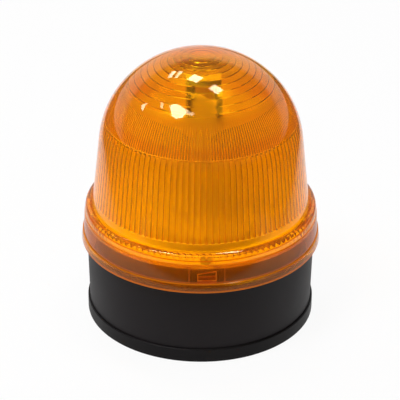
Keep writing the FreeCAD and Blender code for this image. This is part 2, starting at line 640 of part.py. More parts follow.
def frame_screws():
    tip = FOOT_PLATE_Z - 6.5
    return Part.makeCompound([screw(MOTOR_SCREW_R, 2.2, 1.5, FOOT_PLATE_TOP, tip, 0, side * BOSS_Y)
                              for side in (-1, 1)])


# ---------------------------------------------------------------- motor
def motor_can():
    body = cyl(MOTOR_R, MOTOR_BOTTOM, MOTOR_CAP_Z, 0, MOTOR_Y)
    body = body.cut(cyl(MOTOR_R - MOTOR_WALL, MOTOR_BOTTOM + MOTOR_WALL, MOTOR_CAP_Z + 1, 0, MOTOR_Y))
    body = body.fuse(cyl(3.0, MOTOR_BOTTOM - 1.5, MOTOR_BOTTOM + 1, 0, MOTOR_Y))
    return body.cut(cyl(SHAFT_R + RUN_GAP, MOTOR_BOTTOM, MOTOR_BOTTOM + 3, 0, MOTOR_Y))


def motor_cap():
    body = cyl(MOTOR_R, MOTOR_CAP_Z, DECK_BOTTOM, 0, MOTOR_Y)
    body = body.fuse(cyl(MOTOR_BOSS_R, DECK_BOTTOM - 1, DECK_TOP, 0, MOTOR_Y))
    cuts = [cyl(SHAFT_R + RUN_GAP, MOTOR_CAP_Z - 1, DECK_TOP + 1, 0, MOTOR_Y)]
    for side in (-1, 1):
        x = side * MOTOR_SCREW_X
        cuts.append(cyl(MOTOR_SCREW_R + PRESS_GAP, MOTOR_CAP_Z - 1, DECK_BOTTOM + 1, x, MOTOR_Y))
    return body.cut(Part.makeCompound(cuts))


def motor_screws():
    return Part.makeCompound([screw(MOTOR_SCREW_R, 2.2, 1.5, DECK_TOP, MOTOR_CAP_Z + 0.1,
                                    side * MOTOR_SCREW_X, MOTOR_Y) for side in (-1, 1)])


def motor_magnets():
    outer = MOTOR_R - MOTOR_WALL - 0.05
    body = ring(ROTOR_R + 0.35, outer, ROTOR_Z - 1, ROTOR_TOP + 1)
    body = body.cut(box(-MOTOR_R, MOTOR_R, -2.2, 2.2, ROTOR_Z - 3, ROTOR_TOP + 3))
    body.translate(V(0, MOTOR_Y, 0))
    return body


def motor_tabs():
    return Part.makeCompound([box(side * TAB_X - 1.2, side * TAB_X + 1.2, MOTOR_Y - 0.3, MOTOR_Y + 0.3,
                                  MOTOR_BOTTOM - 5, MOTOR_BOTTOM) for side in (-1, 1)])


def motor_shaft():
    return cyl(SHAFT_R, MOTOR_BOTTOM + 0.3, SHAFT_TOP, 0, MOTOR_Y)


def rotor_core():
    return ring(SHAFT_R + PRESS_GAP, ROTOR_R, ROTOR_Z, ROTOR_TOP, 0, MOTOR_Y)


def drive_pinion():
    body = gear_blank(PINION_TEETH, PINION_TIP, PINION_ROOT, 18.0, TURN_Z + 0.2, GEAR_TOP)
    body = body.cut(cyl(SHAFT_R + PRESS_GAP, TURN_Z - 1, GEAR_TOP + 1))
    body.translate(V(0, MOTOR_Y, 0))
    return body


# ---------------------------------------------------------------- electrics
def circuit_board():
    body = box(-BOARD_X, BOARD_X, BOARD_Y0, BOARD_Y1, BOARD_Z, BOARD_TOP)
    for x, y in BOARD_POSTS:
        body = body.cut(cyl(BOARD_SCREW_R + SCREW_GAP, BOARD_Z - 1, BOARD_TOP + 1, x, y))
    return body


def board_screws():
    return Part.makeCompound([screw(BOARD_SCREW_R, 1.9, 1.3, BOARD_TOP, BOARD_Z - 5.5, x, y)
                              for x, y in BOARD_POSTS])


def terminal_block():
    body = box(-BLOCK_X, BLOCK_X, BLOCK_Y0, BLOCK_Y1, BOARD_TOP, BLOCK_TOP)
    for x in WAY_X:
        body = body.cut(cyl(2.1, BLOCK_TOP - 4, BLOCK_TOP + 1, x, (BLOCK_Y0 + BLOCK_Y1) / 2))
        body = body.cut(Part.makeCylinder(WAY_R, 4.5, V(x, BLOCK_Y1 - 3.5, WAY_Z), V(0, 1, 0)))
        body = body.cut(box(x - 1.8, x + 1.8, BLOCK_Y0 - 1, BLOCK_Y0 + 1.5, BOARD_TOP + 1.5, BOARD_TOP + 5.5))
    return body


def terminal_screws():
    at = [(x, (BLOCK_Y0 + BLOCK_Y1) / 2) for x in WAY_X]
    return Part.makeCompound([screw(1.0, 1.95, 1.6, BLOCK_TOP - 4, BLOCK_TOP - 4, x, y) for x, y in at])


def capacitor():
    body = cyl(4.8, BOARD_TOP, BOARD_TOP + 13.0, *CAPACITOR_AT)
    return body.cut(ring(4.5, 6.0, BOARD_TOP + 2.0, BOARD_TOP + 2.8, *CAPACITOR_AT))


def choke():
    return ring(2.4, 5.6, BOARD_TOP, BOARD_TOP + 5.0, *CHOKE_AT)


def lamp_leads():
    leads = []
    for side in (-1, 1):
        x = side * WAY_X[2]
        foot = side * 1.4
        leads.append(lead([(foot, 0, TOWER_TOP - HOLDER_SPIGOT + 2.5), (foot, 0, DECK_BOTTOM - 10),
                           (x, 0, DECK_BOTTOM - 21), (x, 0, WAY_Z), (x, BLOCK_Y1 - 3.0, WAY_Z)], 4.0))
    return Part.makeCompound(leads)


def motor_leads():
    leads = []
    for side in (-1, 1):
        x = side * WAY_X[3]
        tab = (side * TAB_X, MOTOR_Y - 1.1)
        leads.append(lead([tab + (MOTOR_BOTTOM - 1.5,), tab + (LEAD_FLOOR,), (x, MOTOR_Y / 2.0, LEAD_FLOOR),
                           (x, 2.0, WAY_Z), (x, BLOCK_Y1 - 3.0, WAY_Z)], 3.0))
    return Part.makeCompound(leads)


# ---------------------------------------------------------------- write every piece
PIECES = [base_housing, base_seal, cable_grommet, deck_plate, deck_screws, lens_seal, lamp_tower,
          tower_screws, thrust_washer, tower_clip, bulb_holder, bulb_base, bulb_glass, bulb_filament,
          ring_gear, gear_bush, mirror_frame, mirror_sheet, frame_screws, motor_can, motor_cap,
          motor_screws, motor_magnets, motor_tabs, motor_shaft, rotor_core, drive_pinion, circuit_board,
          board_screws, terminal_block, terminal_screws, capacitor, choke, lamp_leads, motor_leads,
          lens_dome]

os.makedirs("parts", exist_ok=True)
for build in PIECES:
    shape = build()
    assert shape.isValid(), build.__name__
    shape.exportStep("parts/" + build.__name__ + ".step")
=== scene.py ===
# %% [markdown]
# A rotating amber warning light, dressed for the camera.
# The solid parts come from a CAD frame that stays where it is. This script gives each of them a finish,
# builds the clear lens anew with its optical flutes, and lights the lamp as in a small studio.
# Blender works in metres. The sizes of the lens read better in millimetres, so MM turns one into the other.

# %% Load the frame
import json
import math
from collections import namedtuple

import bpy
from mathutils import Matrix, Vector


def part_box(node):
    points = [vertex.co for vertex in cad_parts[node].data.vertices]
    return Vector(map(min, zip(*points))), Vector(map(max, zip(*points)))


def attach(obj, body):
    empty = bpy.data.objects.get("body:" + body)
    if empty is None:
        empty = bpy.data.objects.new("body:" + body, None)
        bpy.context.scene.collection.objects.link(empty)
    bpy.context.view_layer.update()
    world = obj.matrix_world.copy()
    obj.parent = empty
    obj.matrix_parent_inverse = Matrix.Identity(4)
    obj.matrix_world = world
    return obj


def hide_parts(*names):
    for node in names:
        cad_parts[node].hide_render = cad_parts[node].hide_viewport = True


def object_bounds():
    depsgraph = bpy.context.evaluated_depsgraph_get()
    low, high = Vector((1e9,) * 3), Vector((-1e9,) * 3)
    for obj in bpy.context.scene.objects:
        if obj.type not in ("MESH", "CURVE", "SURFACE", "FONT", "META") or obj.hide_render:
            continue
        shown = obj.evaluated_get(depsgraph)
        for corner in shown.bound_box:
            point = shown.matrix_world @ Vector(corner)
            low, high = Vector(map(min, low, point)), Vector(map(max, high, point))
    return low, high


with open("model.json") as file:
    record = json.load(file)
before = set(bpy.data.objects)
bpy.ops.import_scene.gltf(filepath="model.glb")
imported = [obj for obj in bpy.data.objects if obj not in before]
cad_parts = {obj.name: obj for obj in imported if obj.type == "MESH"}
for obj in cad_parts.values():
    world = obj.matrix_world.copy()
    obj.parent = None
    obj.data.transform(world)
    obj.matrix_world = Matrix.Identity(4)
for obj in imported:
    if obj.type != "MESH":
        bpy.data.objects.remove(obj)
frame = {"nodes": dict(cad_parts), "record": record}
cad_box = [list(corner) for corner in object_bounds()]
nodes = frame["nodes"]
MM = 0.001
print("pieces in the frame:", len(nodes), "box:", cad_box)

# %% [markdown]
# Finishes are graphs of shader nodes. Wiring each one by hand hides the idea behind it, so a small class
# wraps a socket and lets ordinary arithmetic add the Math nodes. 1 - mask and 0.2 + 0.1 * grain then read
# as they would on paper.

# %% A socket that takes part in arithmetic
class Value:
    """An output socket of a shader node. Arithmetic on it adds Math nodes."""

    def __init__(self, finish, socket):
        self.finish = finish
        self.socket = socket

    def __add__(self, other):
        return self.finish.maths("ADD", self, other)

    def __sub__(self, other):
        return self.finish.maths("SUBTRACT", self, other)

    def __rsub__(self, other):
        return self.finish.maths("SUBTRACT", other, self)

    def __mul__(self, other):
        return self.finish.maths("MULTIPLY", self, other)

    __radd__ = __add__
    __rmul__ = __mul__


# %% [markdown]
# One more class owns a material, or the world, which is a graph of shader nodes as well. Its node method
# covers everything that arithmetic can't: it takes the node's type, its settings, and then the values or
# links of its sockets. The methods after it are names for the nodes that come up most. The last one closes
# the graph and prints how large it became.

# %% A material that grows node by node
class Finish:
    def __init__(self, name, owner=None):
        self.owner = owner or bpy.data.materials.new(name)
        self.owner.use_nodes = True
        self.tree = self.owner.node_tree
        self.tree.nodes.clear()

    def node(self, kind, settings=None, inputs=None, output=0):
        made = self.tree.nodes.new("ShaderNode" + kind)
        for key, value in (settings or {}).items():
            if key == "stops":
                self.set_stops(made.color_ramp, value)
            else:
                setattr(made, key, value)
        for key, value in (inputs or {}).items():
            if isinstance(value, Value):
                self.tree.links.new(value.socket, made.inputs[key])
            else:
                made.inputs[key].default_value = value
        return Value(self, made.outputs[output])

    def set_stops(self, ramp, stops):
        while len(ramp.elements) < len(stops):
            ramp.elements.new(0.5)
        for element, (place, colour) in zip(ramp.elements, stops):
            element.position = place
            element.color = colour

    def maths(self, operation, *terms):
        return self.node("Math", {"operation": operation}, dict(enumerate(terms)))

    def where(self, stretch=(1.0, 1.0, 1.0)):
        """The place on the piece, in metres, which stays the same at every angle of a joint."""
        at = self.node("TexCoord", output="Object")
        return self.node("VectorMath", {"operation": "MULTIPLY"}, {0: at, 1: stretch})

    def noise(self, scale, detail=2.0, stretch=(1.0, 1.0, 1.0)):
        return self.node("TexNoise", inputs={"Vector": self.where(stretch), "Scale": scale, "Detail": detail})

    def ramp(self, factor, low, high):
        """0 up to low, 1 from high on. Low may be the larger of the two."""
        return self.node("MapRange", inputs={"Value": factor, "From Min": low, "From Max": high})

    def blend(self, factor, first, second):
        return self.node("Mix", {"data_type": "RGBA"}, {0: factor, 6: first, 7: second}, output=2)

    def bump(self, height, depth, strength=1.0):
        return self.node("Bump", inputs={"Height": height, "Distance": depth, "Strength": strength})

    def end(self, shader, kind="Material"):
        out = self.tree.nodes.new("ShaderNodeOutput" + kind)
        self.tree.links.new(shader.socket, out.inputs["Surface"])
        print("finish:", self.owner.name, "nodes:", len(self.tree.nodes))
        return self.owner


def rgb(red, green, blue):
    return (red, green, blue, 1.0)


# %% [markdown]
# Most of the lamp's pieces are one of a few kinds of surface: a moulded plastic, a machined or plated
# metal, or rubber. Real ones are never one even tone. Two scales of noise cover that: a slow one shifts
# the colour and the gloss, as handling and flow marks do, and a fine one dents the surface, as the
# mould's or the tool's texture does. Stretching the fine noise along Z turns its dents into the upright
# marks of a ground shaft or a drawn can.

# %% One recipe for opaque surfaces
GRAIN = 2600.0
GRAIN_DEPTH = 0.00002
GLOSS_SPREAD = 0.08


def opaque(name, colour, shade, gloss, depth=GRAIN_DEPTH, metal=0.0, stretch=(1.0, 1.0, 1.0), patch=60.0,
           specular=0.5):
    finish = Finish(name)
    slow = finish.ramp(finish.noise(patch, 4.0), 0.32, 0.68)
    fine = finish.noise(GRAIN, 3.0, stretch)
    surface = finish.node("BsdfPrincipled", inputs={
        "Base Color": finish.blend(slow, colour, shade),
        "Metallic": metal,
        "Roughness": gloss + GLOSS_SPREAD * (slow - 0.5) + 0.1 * (fine - 0.5),
        "Specular IOR Level": specular,
        "Normal": finish.bump(fine, depth),
    })
    return finish.end(surface)


# %% [markdown]
# The base is a black moulding with a fine spark-eroded grain: matt from the front, paler where light
# grazes its sides. A Voronoi pattern gives the tiny rounded pits of that grain better than plain noise.

# %% The black housing
def housing_plastic():
    finish = Finish("black_spark_grain")
    slow = finish.ramp(finish.noise(35.0, 5.0), 0.3, 0.7)
    pits = finish.node("TexVoronoi", inputs={"Vector": finish.where(), "Scale": 2200.0})
    fine = finish.noise(4200.0, 2.0)
    surface = finish.node("BsdfPrincipled", inputs={
        "Base Color": finish.blend(slow, rgb(0.0075, 0.0048, 0.0056), rgb(0.0105, 0.0072, 0.0082)),
        "Roughness": 0.5 + 0.07 * slow + 0.06 * (fine - 0.5),
        "Specular IOR Level": 0.2,
        "Normal": finish.bump(pits + 0.5 * fine, 0.00003, 0.6),
    })
    return finish.end(surface)


# %% [markdown]
# The reflector is bright metal on its hollow side, which faces +X, and dull pale lacquer on its back. The
# normal in the piece's own space tells the two apart at any angle of turn. A perfect mirror looks computer
# made, so very fine vertical polishing marks and a faint haze are kept.

# %% The reflector, bright but not perfect
def polished_reflector():
    finish = Finish("bright_reflector")
    marks = finish.noise(900.0, 3.0, (1.0, 1.0, 0.04))
    haze = finish.ramp(finish.noise(45.0, 3.0), 0.35, 0.75)
    facing = finish.node("TexCoord", output="Normal")
    hollow = finish.maths("GREATER_THAN", finish.node("SeparateXYZ", inputs={0: facing}, output="X"), 0.05)
    bright = finish.blend(haze, rgb(0.93, 0.93, 0.92), rgb(0.86, 0.85, 0.83))
    dull = finish.blend(haze, rgb(0.66, 0.66, 0.65), rgb(0.72, 0.71, 0.70))
    surface = finish.node("BsdfPrincipled", inputs={
        "Base Color": finish.blend(hollow, dull, bright),
        "Metallic": hollow,
        "Roughness": 0.45 - 0.39 * hollow + 0.10 * haze,
        "Normal": finish.bump(marks, 0.00001, 0.5),
    })
    return finish.end(surface)


# %% [markdown]
# The frame that holds the reflector is dark sheet metal. Every face that looks up, such as its cap plate, is
# painted pale, a painted light from above, so the upward part of the normal blends the two.

# %% The reflector's frame
def frame_with_painted_top_light():
    finish = Finish("frame_with_painted_top_light")
    slow = finish.ramp(finish.noise(80.0, 4.0), 0.32, 0.68)
    upward = finish.node("SeparateXYZ", inputs={0: finish.node("TexCoord", output="Normal")}, output="Z")
    # Painted light: faces that look up turn pale, as if lit from above.
    painted_top_light = finish.ramp(upward, 0.4, 0.9)
    metal = finish.blend(slow, rgb(0.07, 0.068, 0.065), rgb(0.1, 0.097, 0.093))
    surface = finish.node("BsdfPrincipled", inputs={
        "Base Color": finish.blend(painted_top_light, metal, rgb(0.62, 0.58, 0.52)),
        "Roughness": 0.42 + 0.25 * painted_top_light + 0.06 * slow,
        "Normal": finish.bump(finish.noise(GRAIN, 3.0), GRAIN_DEPTH),
    })
    return finish.end(surface)


# %% [markdown]
# Clear solids bend light, and a path tracer then finds it hard to reach a lamp through them. For shadow
# rays only, the surface becomes a plain tinted sheet, so lamp light falls through the lens on to the
# deck and picks up the amber on its way.

# %% Clear surfaces
def clear_solid(finish, colour, sheet, ior, gloss, normal, reflected=(1.0, 1.0, 1.0, 1.0)):
    surface = finish.node("BsdfPrincipled", inputs={
        "Base Color": colour,
        "Roughness": gloss,
        "Specular Tint": reflected,
        "IOR": ior,
        "Transmission Weight": 1.0,
        "Normal": normal,
    })
    sheer = finish.node("BsdfTransparent", inputs={"Color": sheet})
    is_shadow = finish.node("LightPath", output="Is Shadow Ray")
    return finish.node("MixShader", inputs={0: is_shadow, 1: surface, 2: sheer})


# %% [markdown]
# The bulb is hard clear glass, nearly without colour. Only a trace of unevenness in gloss and surface keeps
# it from looking like a drawn bubble.

# %% The bulb's glass
def bulb_quartz():
    finish = Finish("clear_quartz")
    slow = finish.ramp(finish.noise(120.0, 3.0), 0.3, 0.7)
    colour = finish.blend(slow, rgb(0.97, 0.98, 0.98), rgb(0.93, 0.94, 0.95))
    return finish.end(clear_solid(finish, colour, rgb(0.97, 0.97, 0.97), 1.46, 0.01 + 0.01 * slow,
                                  finish.bump(slow, 0.00001, 0.5)))


# %% [markdown]
# The lens has a plain skirt round its dome, with three sharp rims: its lower edge, a narrow ledge, and the
# shelf on which the dome stands. Both the finish and the mesh of the lens need their heights, which are
# measured here from the lens in the frame. A fade is the pair of heights between which the colour of one
# part of the lens gives way to that of the part below it.

# %% Heights on the lens, in millimetres
SKIRT_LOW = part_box("lens_dome")[0][2] / MM
LEDGE = SKIRT_LOW + 5.0
SHELF = SKIRT_LOW + 15.8
RIMS = (SKIRT_LOW + 0.3, LEDGE - 0.1, SHELF)
RIM_HALF = 0.4
SKIRT_FADE = (SHELF - 0.2, SHELF - 0.8)
WALL_FADE = (134.0, 126.0)
print("rims of the skirt at", [round(rim, 2) for rim in RIMS])

# %% [markdown]
# The amber lens needs more than clear plastic. Its outside is polished and its fluted inside isn't quite, so
# the mesh carries a number per point, 1 on the inside, that raises the roughness there and softens what is
# seen through. A second number deepens the colour. On the skirt that is partly its thick plastic, but mostly
# it is painted shade: a deeper, redder amber along the sharp root between two flutes, where the flutes bend
# light away and the lens looks dark, and in a few dark bands, lines and dots. Edges also glow: light caught
# in the plastic leaves at every sharp rim. A third number, and a thin band at the heights of the skirt's
# three rims, stand in for that with painted light: more of the translucent body colour and a little light of
# their own. The skirt is thicker and cloudier than the dome, so it gets a larger share of that body colour
# too, and the cap, which is the clearest, the smallest.

# %% The amber lens
AMBER = rgb(1.0, 0.61, 0.007)
AMBER_DEEP = rgb(1.0, 0.575, 0.005)
# Painted shade: the deeper, redder amber of flute roots, dark bands and dots.
AMBER_ROOT_SHADE = rgb(0.84, 0.24, 0.002)
AMBER_SHEET = rgb(1.0, 0.86, 0.10)
AMBER_GLOW = rgb(1.0, 0.30, 0.008)
AMBER_REFLECTED = rgb(1.0, 0.84, 0.55)
INSIDE_HAZE = 0.54
CAP_SHARE = 0.05
WALL_SHARE = 0.08
SKIRT_SHARE = 0.2
EDGE_SHARE = 0.5
EDGE_LIGHT_SHARE = 0.4
EDGE_LIGHT = 0.6


def rim_mask(finish, height):
    """1 on each rim of the skirt, 0 elsewhere."""
    total = 0.0
    for rim in RIMS:
        away = finish.maths("ABSOLUTE", height - rim * MM)
        total = total + finish.ramp(away, RIM_HALF * MM, 0.5 * RIM_HALF * MM)
    return finish.maths("MINIMUM", total, 1.0)


def lens_amber():
    finish = Finish("clear_amber")
    slow = finish.ramp(finish.noise(30.0, 3.0), 0.3, 0.7)
    inside, root, edge = [finish.node("Attribute", {"attribute_name": name}, output="Fac")
                          for name in ("inside", "root", "edge")]
    # Painted shade: the amber turns deeper and redder where the mesh's second number is high.
    amber = finish.blend(root, finish.blend(slow, AMBER, AMBER_DEEP), AMBER_ROOT_SHADE)
    glass = clear_solid(finish, amber, AMBER_SHEET, 1.5, 0.012 + 0.01 * slow + INSIDE_HAZE * inside,
                        finish.bump(slow, 0.00002, 0.5), AMBER_REFLECTED)
    through = finish.node("BsdfTranslucent", inputs={"Color": AMBER_GLOW})
    back = finish.node("BsdfDiffuse", inputs={"Color": AMBER_GLOW})
    body = finish.node("MixShader", inputs={0: 0.5, 1: through, 2: back})
    height = finish.node("SeparateXYZ", inputs={0: finish.where()}, output="Z")
    skirt = finish.ramp(height, SKIRT_FADE[0] * MM, SKIRT_FADE[1] * MM)
    wall = finish.ramp(height, WALL_FADE[0] * MM, WALL_FADE[1] * MM)
    share = CAP_SHARE + (WALL_SHARE - CAP_SHARE) * wall + (SKIRT_SHARE - WALL_SHARE) * skirt
    glow = finish.maths("MAXIMUM", rim_mask(finish, height), edge)
    body_share = finish.maths("MAXIMUM", share, EDGE_SHARE * glow)
    plastic = finish.node("MixShader", inputs={0: body_share, 1: glass, 2: body})
    # Painted light: rims and marks of the skirt give off a little light of their own.
    painted_edge_light = finish.node("Emission", inputs={"Color": AMBER_GLOW, "Strength": EDGE_LIGHT})
    return finish.end(finish.node("MixShader", inputs={0: EDGE_LIGHT_SHARE * glow, 1: plastic, 2: painted_edge_light}))


# %% [markdown]
# The circuit board is a green lacquer over glass cloth. The cloth's square weave shows faintly, so a fine
# checker pattern drives its bump.

# %% The lacquered board
def board_lacquer():
    finish = Finish("green_lacquer")
    weave = finish.node("TexChecker", inputs={"Vector": finish.where(), "Scale": 1400.0}, output="Fac")
    slow = finish.ramp(finish.noise(90.0, 4.0), 0.3, 0.7)
    surface = finish.node("BsdfPrincipled", inputs={
        "Base Color": finish.blend(slow, rgb(0.012, 0.11, 0.045), rgb(0.02, 0.16, 0.07)),
        "Roughness": 0.28 + 0.1 * slow,
        "Normal": finish.bump(weave, 0.00001, 0.4),
    })
    return finish.end(surface)


# %% [markdown]
# The record gives every piece a material slot. One table from slot to finish dresses the whole frame, so
# a piece that is added later gets its finish by naming its slot.

# %% Give every piece of the frame its finish
finishes = {
    "black_housing": housing_plastic(),
    "black_rubber": opaque("black_rubber", rgb(0.008, 0.007, 0.0075), rgb(0.011, 0.0095, 0.01), 0.5,
                           depth=0.00003, specular=0.12),
    "seal_rubber": opaque("pale_seal", rgb(0.55, 0.53, 0.49), rgb(0.46, 0.44, 0.4), 0.7, depth=0.00004),
    "white_deck": opaque("white_deck", rgb(0.86, 0.85, 0.82), rgb(0.80, 0.79, 0.76), 0.42, patch=40.0),
    "gear_acetal": opaque("white_acetal", rgb(0.82, 0.81, 0.77), rgb(0.75, 0.74, 0.69), 0.34),
    "frame_black": frame_with_painted_top_light(),
    "tower_plastic": opaque("pale_tower", rgb(0.62, 0.61, 0.57), rgb(0.55, 0.54, 0.5), 0.4),
    "mirror_metal": polished_reflector(),
    "screw_steel": opaque("zinc_plate", rgb(0.66, 0.66, 0.64), rgb(0.55, 0.56, 0.58), 0.32, metal=1.0,
                          patch=300.0),
    "shaft_steel": opaque("ground_steel", rgb(0.58, 0.58, 0.58), rgb(0.5, 0.5, 0.5), 0.28, metal=1.0,
                          stretch=(1.0, 1.0, 0.05)),
    "bronze": opaque("sintered_bronze", rgb(0.52, 0.32, 0.15), rgb(0.36, 0.22, 0.11), 0.42, metal=1.0,
                     patch=700.0),
    "contact_brass": opaque("stamped_brass", rgb(0.72, 0.52, 0.22), rgb(0.6, 0.42, 0.18), 0.3, metal=1.0,
                            patch=200.0),
    "ceramic": opaque("pale_ceramic", rgb(0.8, 0.77, 0.7), rgb(0.7, 0.67, 0.6), 0.6, depth=0.00004,
                      patch=200.0),
    "bulb_glass": bulb_quartz(),
    "tungsten": opaque("tungsten_wire", rgb(0.35, 0.34, 0.33), rgb(0.24, 0.23, 0.23), 0.4, metal=1.0),
    "motor_steel": opaque("drawn_can", rgb(0.56, 0.56, 0.55), rgb(0.47, 0.47, 0.47), 0.3, metal=1.0,
                          stretch=(1.0, 1.0, 0.04)),
    "magnet": opaque("grey_ferrite", rgb(0.07, 0.07, 0.075), rgb(0.11, 0.11, 0.115), 0.6, patch=400.0),
    "board_green": board_lacquer(),
    "block_green": opaque("green_block", rgb(0.03, 0.17, 0.06), rgb(0.045, 0.21, 0.08), 0.42),
    "capacitor_sleeve": opaque("blue_sleeve", rgb(0.012, 0.02, 0.07), rgb(0.02, 0.03, 0.1), 0.25),
    "wire_red": opaque("red_insulation", rgb(0.4, 0.02, 0.012), rgb(0.5, 0.035, 0.02), 0.35),
    "wire_blue": opaque("blue_insulation", rgb(0.015, 0.04, 0.3), rgb(0.02, 0.06, 0.38), 0.35),
    "lens_amber": lens_amber(),
}
slot_of = {part["node"]: part["material_slot"] for part in frame["record"]["subparts"]}
for name, piece in nodes.items():
    piece.data.materials.clear()
    piece.data.materials.append(finishes[slot_of[name]])
print("finishes:", len(finishes))

# %% [markdown]
# The lens is the face of this lamp: a clear amber dome, smooth outside, with optical flutes inside. In
# the straight wall they are 108 tall ribs, in the shoulder 216 finer ones, and under the cap 10 concentric
# prisms round a nearly flat centre. Cutting them with Boolean operations would be slow, so the mesh is
# written ring by ring: every ring is a circle whose radius wavers by the flute's depth. The rings follow the
# dome's outline, which is three arcs and a line, each tangent to the next. From the top they are the cap,
# the shoulder, the drafted wall, and the flare at its foot, where the dome widens to stand on the shelf.

# %% The dome's outline from a few sizes
LENS_TOP = cad_box[1][2] / MM
CAP_SPHERE = 56.0
CAP_EDGE = 42.65
SHOULDER = 53.0
DRAFT = math.radians(6.2)
FLARE_TOP = 82.0
FOOT = (59.4, 65.8)
WALL = 2.3


def on_circle(centre, radius, angle):
    return (centre[0] + radius * math.cos(angle), centre[1] + radius * math.sin(angle))


cap_centre = (0.0, LENS_TOP - CAP_SPHERE)
cap_angle = math.acos(CAP_EDGE / CAP_SPHERE)
shoulder_centre = on_circle(cap_centre, CAP_SPHERE - SHOULDER, cap_angle)
wall_top = on_circle(shoulder_centre, SHOULDER, DRAFT)
flare_start = (wall_top[0] + math.tan(DRAFT) * (wall_top[1] - FLARE_TOP), FLARE_TOP)
run = math.hypot(FOOT[0] - flare_start[0], FOOT[1] - flare_start[1])
lean = math.atan2(FOOT[0] - flare_start[0], flare_start[1] - FOOT[1])
FLARE = run / (2.0 * math.sin(lean - DRAFT))
flare_end = 2.0 * lean - DRAFT
flare_centre = on_circle(flare_start, FLARE, DRAFT)
print("wall meets shoulder at", [round(v, 2) for v in wall_top], "flare radius", round(FLARE, 1))


# %% Points along that outline, at any depth in the wall
def arc(centre, radius, start, end, count):
    return [on_circle(centre, radius, start + (end - start) * k / (count - 1)) for k in range(count)]


def dome_side(inset, counts):
    """The outline moved inwards, from its foot to its top, as four lists: flare, wall, shoulder, cap.
    Counts says how many points each list gets."""
    flare, wall, shoulder, cap = counts
    up = arc(flare_centre, FLARE + inset, math.pi + flare_end, math.pi + DRAFT, flare)
    turn = arc(shoulder_centre, SHOULDER - inset, DRAFT, cap_angle, shoulder)
    straight = [(up[-1][0] + (turn[0][0] - up[-1][0]) * k / (wall + 1),
                 up[-1][1] + (turn[0][1] - up[-1][1]) * k / (wall + 1)) for k in range(1, wall + 1)]
    crown = arc(cap_centre, CAP_SPHERE - inset, cap_angle, math.pi / 2, cap)
    return up, straight, turn, crown


print("radius at the foot, outside and inside:", [round(dome_side(inset, (2, 1, 2, 2))[0][0][0], 2)
                                                  for inset in (0.0, WALL)])

# %% [markdown]
# Each ring of the mesh is told its radius, its height, how many flutes it carries and how deep they are.
# Its last entry is a short row of numbers, repeated round the ring, that says how deep the colour is at each
# point: it paints shade on the dark root of every flute. Rings without flutes and without painted shade need
# only the first two. 648 steps round give every rib of the wall six faces and every rib of the shoulder
# three.

# %% What a ring is made of
STEPS = 648
CLEAR = (0.0,)
Ring = namedtuple("Ring", "radius height ribs depth lines", defaults=(0, 0.0, CLEAR))
print("one step is", round(360.0 / STEPS, 2), "degrees")

# %% [markdown]
# The outside is smooth: the skirt from its rounded lower lip to the ledge, its drafted face up to the shelf,
# a small bead round the foot of the dome, and the dome. The skirt looks deeper in colour than the dome,
# partly because light goes a long way through its plastic and partly as painted shade, so its rings carry
# some depth of colour all round, darkest at the ledge and next along the lower lip.
# Spots on the outline are pairs of a radius and a height.

# %% The rings outside, from the lower edge to the top
SKIRT = cad_box[1][0] / MM
INNER_SKIRT_LOW = 63.5
flare, straight, shoulder, crown = dome_side(0.0, (7, 2, 12, 14))
lip = [(INNER_SKIRT_LOW, SKIRT_LOW), (SKIRT - 0.35, SKIRT_LOW), (SKIRT - 0.08, SKIRT_LOW + 0.12),
       (SKIRT, SKIRT_LOW + 0.4), (SKIRT - 0.53, LEDGE - 0.4)]
ledge = [(SKIRT - 0.6, LEDGE - 0.12), (SKIRT - 0.8, LEDGE), (64.2, LEDGE + 0.15)]
shelf = [(63.6, SHELF - 0.5), (63.5, SHELF - 0.05), (63.3, SHELF + 0.3)]
bead = [(63.25, SHELF + 2.3), (62.9, SHELF + 4.0), (62.4, SHELF + 5.0), (61.9, SHELF + 5.47),
        (60.8, SHELF + 5.9)]
dome = flare + straight + shoulder + crown[1:-1]
outer_rings = []
# Painted shade in part: the skirt's rings are deepest in colour at the ledge and the lower lip.
for spots, depth_and_shade in ((lip, 0.5), (ledge, 0.85), (shelf, 0.4), (bead, 0.25), (dome, 0.0)):
    outer_rings += [Ring(radius, height, lines=(depth_and_shade,)) for radius, height in spots]
print("rings outside:", len(outer_rings))

# %% [markdown]
# The prisms under the cap are steps cut into the inner sphere. Going outwards, each one meets the sphere at
# its outer edge and then drops by its depth, on a side that leans a little so that the mould lets go. Seen
# from above they are the fine circles round the middle of the dome.

# %% The rings inside the cap
RING_RADII = (7.2, 10.8, 14.1, 17.4, 20.9, 24.4, 27.8, 31.0, 34.5, 37.5)
RING_DEPTH = 0.6
RING_DRAFT = 0.12
inner_sphere = CAP_SPHERE - WALL
inner_rings = []
for radius in RING_RADII:
    roof = cap_centre[1] + math.sqrt(inner_sphere ** 2 - radius ** 2)
    inner_rings += [Ring(radius, roof), Ring(radius + RING_DRAFT, roof - RING_DEPTH)]
CAP_RINGS = len(inner_rings)
print("prisms under the cap:", len(RING_RADII))

# %% [markdown]
# A flute is a low convex rib, so its inner face follows a parabola from valley to valley: it works as
# an upright cylinder lens that spreads the light sideways. The shoulder is a little thicker than the wall,
# so a small step runs round where the two meet, with a band of painted shade above the ribs of the wall.
# Painted shade also darkens the root of every rib, with fainter lines between the roots, and each rib's
# lower end.

# %% The flutes of the shoulder and of the wall
WALL_RIBS = 108
SHOULDER_RIBS = 216
RIB_DEPTH = 0.55
FINE_DEPTH = 0.8 * RIB_DEPTH
FINE_START = 0.1
FINE_RINGS = 6
SHOULDER_STEP = 0.15
STEP_RINGS = 3
BAND_LOW = 0.35
RIBS_START = (0.3, 1.4)
RIBS_STOP = (0.02, 0.3)
# Painted shade: a dark band, dark rib roots with fainter lines between, and dark rib ends.
SHADE_BAND = (0.9,)
FINE_ROOT_SHADE = (0.8, 0.4, 0.4)
WALL_ROOT_SHADE = (1.0, 0.0, 0.45, 0.0, 0.45, 0.0)
RIB_END_SHADE = (1.0, 1.0, 0.3, 0.0, 0.3, 1.0)

